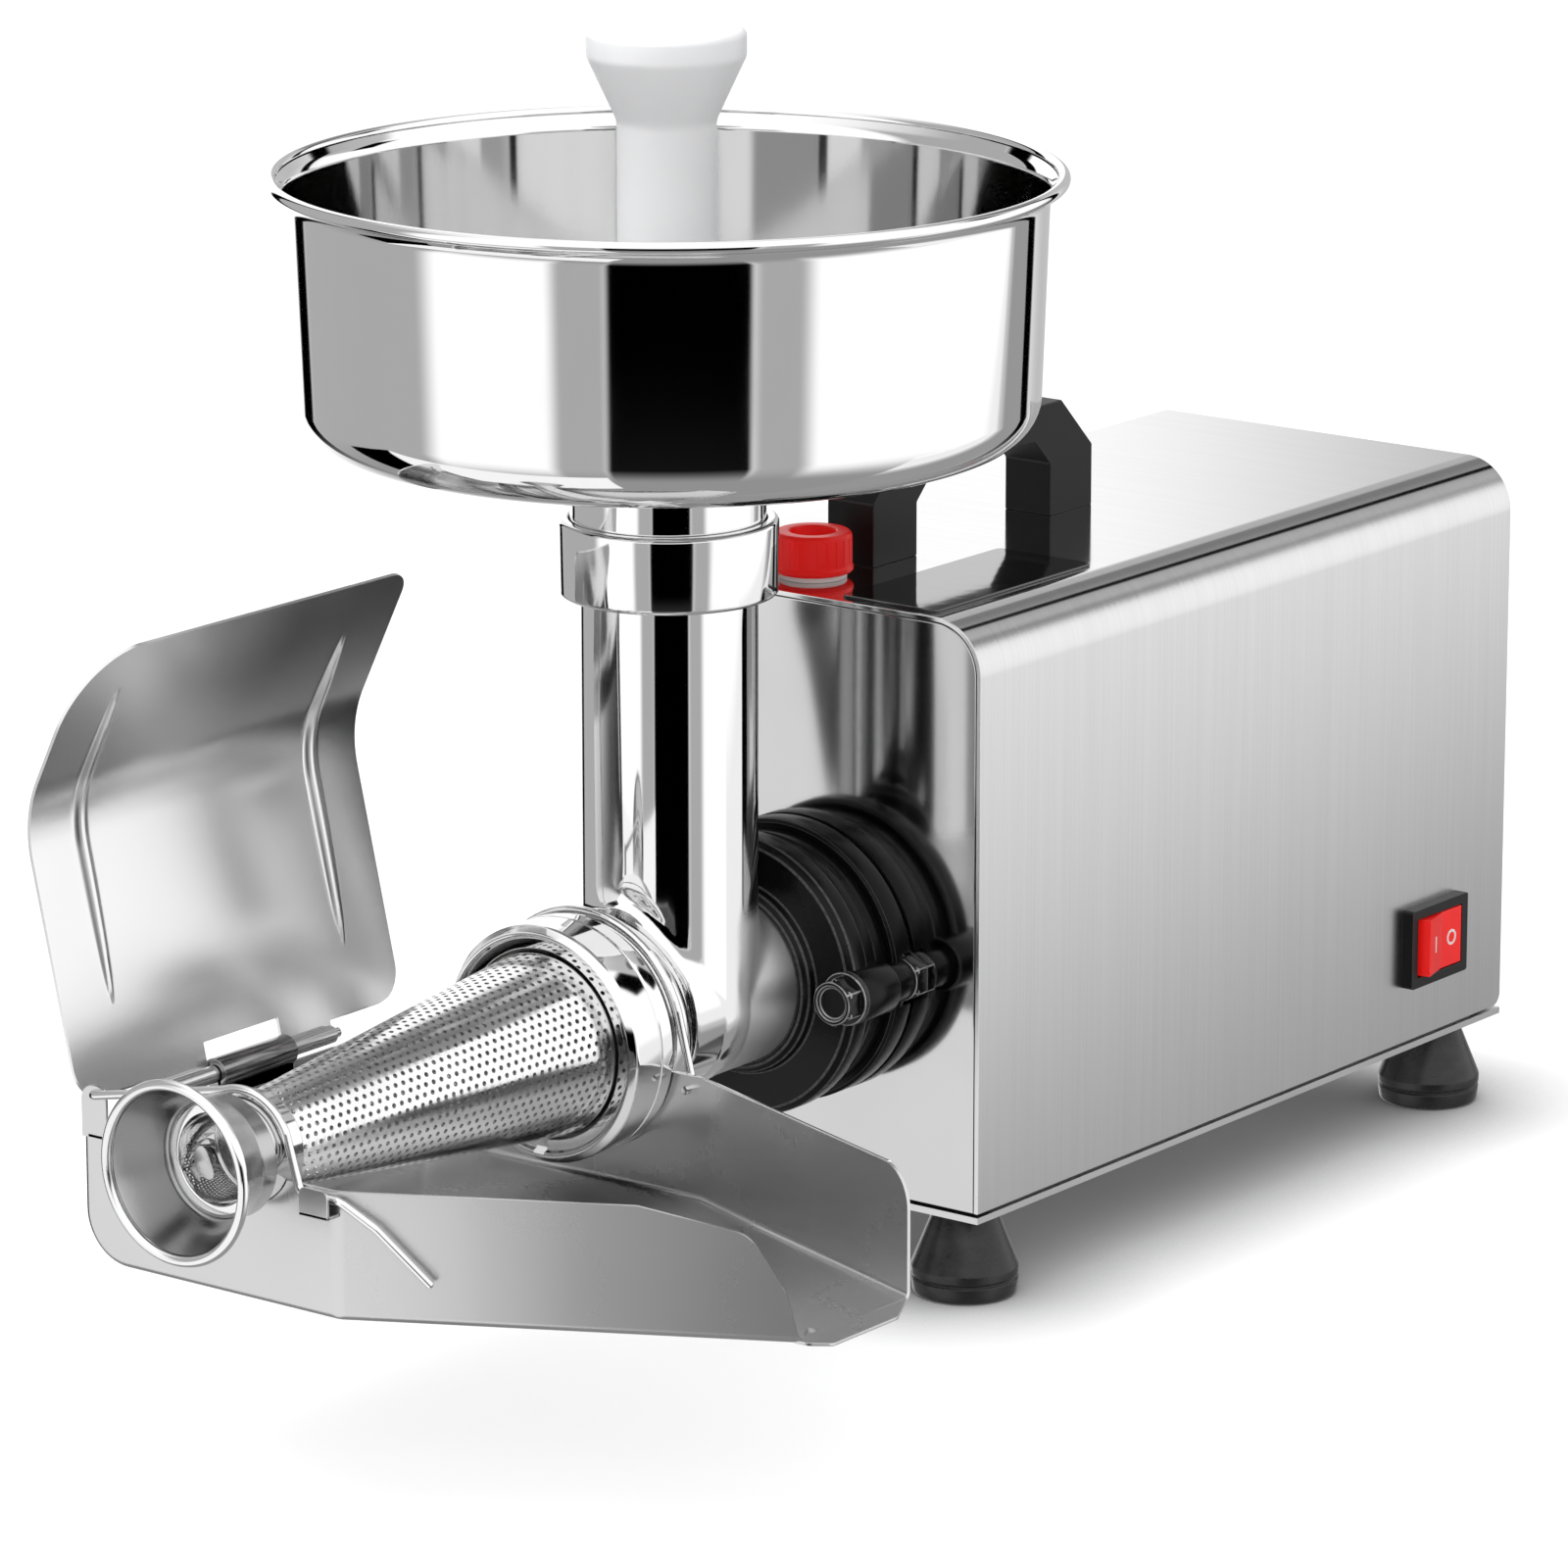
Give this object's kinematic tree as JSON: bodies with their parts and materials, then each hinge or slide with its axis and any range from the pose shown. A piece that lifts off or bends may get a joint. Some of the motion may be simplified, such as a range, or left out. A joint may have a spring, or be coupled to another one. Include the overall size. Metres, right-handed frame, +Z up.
{
  "type": "electric tomato press",
  "caption": "Electric tomato press: motor housing with a horizontal screw press, perforated cone, hopper, feed tube, juice tray with spout and lid, and a pusher.",
  "frame": {"origin": "bottom centre of the whole part's box, on the floor under the feet", "axes": "+Z up, -Y from the motor housing towards the waste funnel, +X towards the spout and the switch"},
  "size_m": [0.261, 0.571, 0.3792],
  "materials": {
    "housing_shell": "brushed",
    "front_panel": "mirror polished",
    "rear_panel": "brushed",
    "base_plate": "satin black",
    "base_screws": "plain",
    "feet": "moulded",
    "foot_screws": "plain",
    "handle": "satin black",
    "handle_screws": "plain",
    "label_plate": "gloss black, bare",
    "switch_bezel": "satin black",
    "switch_rocker": "gloss red",
    "vent_plug": "gloss red",
    "vent_gasket": "moulded",
    "cord_gland": "satin black",
    "gearbox_case": "cast",
    "gearbox_cover": "cast",
    "gearbox_bearings": "ground",
    "output_shaft": "ground",
    "output_gear": "hobbed",
    "idler_gear": "hobbed",
    "motor_pinion": "hobbed",
    "motor_rotor": "laminated",
    "motor_fan": "moulded",
    "motor_stator": "laminated",
    "motor_case": "cast",
    "motor_bracket": "painted",
    "capacitor": "moulded",
    "rear_flange": "gloss black",
    "front_flange": "gloss black",
    "flange_bolts": "blackened",
    "oil_seal": "moulded",
    "press_body": "mirror polished",
    "auger": "moulded",
    "screen_gasket": "moulded",
    "screen": "perforated",
    "collar_nut": "mirror polished",
    "nose_ring": "polished",
    "waste_funnel": "polished",
    "tray": "satin",
    "lid_pin": "drawn",
    "lid": "satin",
    "front_bail": "drawn",
    "rear_bail": "drawn",
    "hopper": "mirror polished",
    "pusher": "moulded"
  },
  "bodies": {
    "machine": {"housing_shell": "housing_shell", "front_panel": "front_panel", "rear_panel": "rear_panel", "base_plate": "base_plate", "base_screws": "base_screws", "feet": "feet", "foot_screws": "foot_screws", "handle": "handle", "handle_screws": "handle_screws", "label_plate": "label_plate", "switch_bezel": "switch_bezel", "vent_gasket": "vent_gasket", "cord_gland": "cord_gland", "gearbox_case": "gearbox_case", "gearbox_cover": "gearbox_cover", "gearbox_bearings": "gearbox_bearings", "motor_stator": "motor_stator", "motor_case": "motor_case", "motor_bracket": "motor_bracket", "capacitor": "capacitor", "rear_flange": "rear_flange", "front_flange": "front_flange", "flange_bolts": "flange_bolts", "oil_seal": "oil_seal", "press_body": "press_body", "screen_gasket": "screen_gasket", "screen": "screen", "nose_ring": "nose_ring", "waste_funnel": "waste_funnel", "tray": "tray", "lid_pin": "lid_pin"},
    "rocker": {"switch_rocker": "switch_rocker"},
    "plug": {"vent_plug": "vent_plug"},
    "nut": {"collar_nut": "collar_nut"},
    "worm": {"output_shaft": "output_shaft", "output_gear": "output_gear", "auger": "auger"},
    "idler": {"idler_gear": "idler_gear"},
    "rotor": {"motor_pinion": "motor_pinion", "motor_rotor": "motor_rotor", "motor_fan": "motor_fan"},
    "lid": {"lid": "lid"},
    "front_bail": {"front_bail": "front_bail"},
    "rear_bail": {"rear_bail": "rear_bail"},
    "hopper": {"hopper": "hopper"},
    "pusher": {"pusher": "pusher"}
  },
  "joints": [
    {"name": "rocker_tip", "type": "hinge", "parent": "machine", "child": "rocker", "pos_m": [0.0445, 0.2315, 0.0605], "axis": [0, 0, 1], "range_deg": [-14, 0]},
    {"name": "plug_turn", "type": "hinge", "parent": "machine", "child": "plug", "pos_m": [-0.0285, 0.0125, 0.206], "axis": [0, 0, 1], "range_deg": [0, 1080]},
    {"name": "nut_turn", "type": "hinge", "parent": "machine", "child": "nut", "pos_m": [-0.0175, -0.1205, 0.098], "axis": [0, -1, 0], "range_deg": [0, 900]},
    {"name": "rotor_spin", "type": "hinge", "parent": "machine", "child": "rotor", "pos_m": [-0.016, 0.1115, 0.1409], "axis": [0, 1, 0], "continuous": true},
    {"name": "idler_spin", "type": "hinge", "parent": "machine", "child": "idler", "pos_m": [-0.0535, 0.0215, 0.1409], "axis": [0, 1, 0], "continuous": true},
    {"name": "worm_spin", "type": "hinge", "parent": "machine", "child": "worm", "pos_m": [-0.0175, -0.0085, 0.098], "axis": [0, 1, 0], "continuous": true},
    {"name": "lid_swing", "type": "hinge", "parent": "machine", "child": "lid", "pos_m": [-0.0789, -0.1825, 0.0946], "axis": [0, 1, 0], "range_deg": [-15, 66]},
    {"name": "front_bail_swing", "type": "hinge", "parent": "machine", "child": "front_bail", "pos_m": [-0.073, -0.2555, 0.103], "axis": [0, -1, 0], "range_deg": [0, 75]},
    {"name": "rear_bail_swing", "type": "hinge", "parent": "machine", "child": "rear_bail", "pos_m": [0.021, -0.1085, 0.0875], "axis": [0, 1, 0], "range_deg": [0, 70]},
    {"name": "hopper_lift", "type": "slide", "parent": "machine", "child": "hopper", "axis": [0, 0, 1], "range_m": [0, 0.06]},
    {"name": "pusher_lift", "type": "slide", "parent": "hopper", "child": "pusher", "axis": [0, 0, 1], "range_m": [0, 0.2]}
  ],
  "couplings": [
    {"joint": "idler_spin", "follows": "rotor_spin", "ratio": -0.25},
    {"joint": "worm_spin", "follows": "rotor_spin", "ratio": 0.083333}
  ]
}
